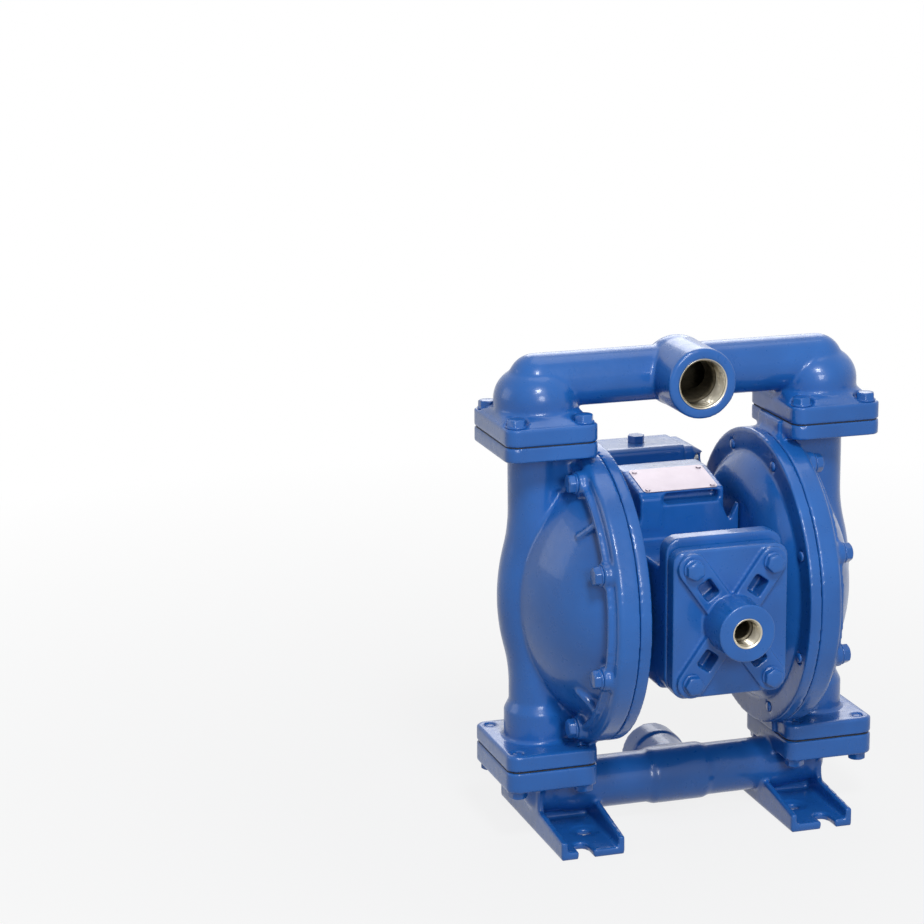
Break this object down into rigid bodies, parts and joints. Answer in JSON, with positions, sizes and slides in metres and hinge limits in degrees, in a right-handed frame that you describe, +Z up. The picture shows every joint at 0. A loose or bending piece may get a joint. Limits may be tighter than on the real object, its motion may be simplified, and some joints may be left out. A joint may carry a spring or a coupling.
{
  "type": "air-operated diaphragm pump",
  "caption": "Air-operated double-diaphragm pump in cast metal with ball check valves, bolted manifolds, front air inlet cap and channel feet.",
  "frame": {"origin": "on the floor, midway between the four foot holes", "axes": "+X along the diaphragm rod, -Y to the front with the discharge port and air inlet, +Z up"},
  "size_m": [0.398, 0.3653, 0.5059],
  "materials": {
    "blue_enamel": "glossy baked enamel over cast metal",
    "nameplate_alloy": "satin",
    "ground_steel": "ground and polished",
    "zinc_steel": "zinc plated",
    "black_rubber": "moulded",
    "gasket_sheet": "flat pressed sheet",
    "acetal": "turned",
    "bronze": "turned bearing bronze"
  },
  "bodies": {
    "pump_body": {"discharge_manifold": "blue_enamel", "suction_manifold": "blue_enamel", "left_outer_chamber": "blue_enamel", "right_outer_chamber": "blue_enamel", "left_inner_chamber": "blue_enamel", "right_inner_chamber": "blue_enamel", "centre_housing": "blue_enamel", "air_inlet_cap": "blue_enamel", "air_cap_bolts": "blue_enamel", "left_ring_bolts": "blue_enamel", "right_ring_bolts": "blue_enamel", "discharge_flange_bolts": "blue_enamel", "suction_flange_bolts": "blue_enamel", "main_valve_body": "blue_enamel", "left_valve_end_cap": "blue_enamel", "right_valve_end_cap": "blue_enamel", "valve_plug": "blue_enamel", "nameplate": "nameplate_alloy", "nameplate_pins": "nameplate_alloy", "main_valve_sleeve": "ground_steel", "hub_screws": "zinc_steel", "pilot_valve_screws": "zinc_steel", "main_valve_bolts": "zinc_steel", "valve_end_cap_screws": "zinc_steel", "left_diaphragm": "black_rubber", "right_diaphragm": "black_rubber", "rod_bumpers": "black_rubber", "rod_seals": "black_rubber", "air_cap_gasket": "gasket_sheet", "pilot_valve_gasket": "gasket_sheet", "main_valve_gasket": "gasket_sheet", "hub_gaskets": "gasket_sheet", "discharge_gaskets": "gasket_sheet", "suction_gaskets": "gasket_sheet", "pilot_valve_body": "acetal", "discharge_seats": "acetal", "suction_seats": "acetal", "plunger_bushings": "bronze", "rod_bushes": "bronze"},
    "rod_assembly": {"diaphragm_rod": "ground_steel", "inner_plates": "zinc_steel", "outer_plates": "zinc_steel", "rod_nuts": "zinc_steel"},
    "pilot_spool": {"pilot_spool": "acetal"},
    "left_plunger": {"left_plunger": "ground_steel"},
    "right_plunger": {"right_plunger": "ground_steel"},
    "valve_spool": {"main_valve_spool": "acetal"},
    "left_discharge_ball": {"left_discharge_ball": "black_rubber"},
    "right_discharge_ball": {"right_discharge_ball": "black_rubber"},
    "left_suction_ball": {"left_suction_ball": "black_rubber"},
    "right_suction_ball": {"right_suction_ball": "black_rubber"}
  },
  "joints": [
    {"name": "rod_slide", "type": "slide", "parent": "pump_body", "child": "rod_assembly", "axis": [1, 0, 0], "range_m": [-0.013, 0.013], "deforming": ["left_diaphragm", "right_diaphragm"]},
    {"name": "pilot_spool_slide", "type": "slide", "parent": "pump_body", "child": "pilot_spool", "axis": [1, 0, 0], "range_m": [-0.0052, 0.0052]},
    {"name": "left_plunger_slide", "type": "slide", "parent": "pump_body", "child": "left_plunger", "axis": [1, 0, 0], "range_m": [-0.0052, 0.0052]},
    {"name": "right_plunger_slide", "type": "slide", "parent": "pump_body", "child": "right_plunger", "axis": [1, 0, 0], "range_m": [-0.0052, 0.0052]},
    {"name": "valve_spool_slide", "type": "slide", "parent": "pump_body", "child": "valve_spool", "axis": [1, 0, 0], "range_m": [-0.008, 0.008]},
    {"name": "left_discharge_ball_lift", "type": "slide", "parent": "pump_body", "child": "left_discharge_ball", "axis": [0, 0, 1], "range_m": [0, 0.011]},
    {"name": "right_discharge_ball_lift", "type": "slide", "parent": "pump_body", "child": "right_discharge_ball", "axis": [0, 0, 1], "range_m": [0, 0.011]},
    {"name": "left_suction_ball_lift", "type": "slide", "parent": "pump_body", "child": "left_suction_ball", "axis": [0, 0, 1], "range_m": [0, 0.011]},
    {"name": "right_suction_ball_lift", "type": "slide", "parent": "pump_body", "child": "right_suction_ball", "axis": [0, 0, 1], "range_m": [0, 0.011]}
  ],
  "couplings": [
    {"joint": "pilot_spool_slide", "follows": "rod_slide", "ratio": 0.4},
    {"joint": "left_plunger_slide", "follows": "rod_slide", "ratio": 0.4},
    {"joint": "right_plunger_slide", "follows": "rod_slide", "ratio": 0.4}
  ]
}
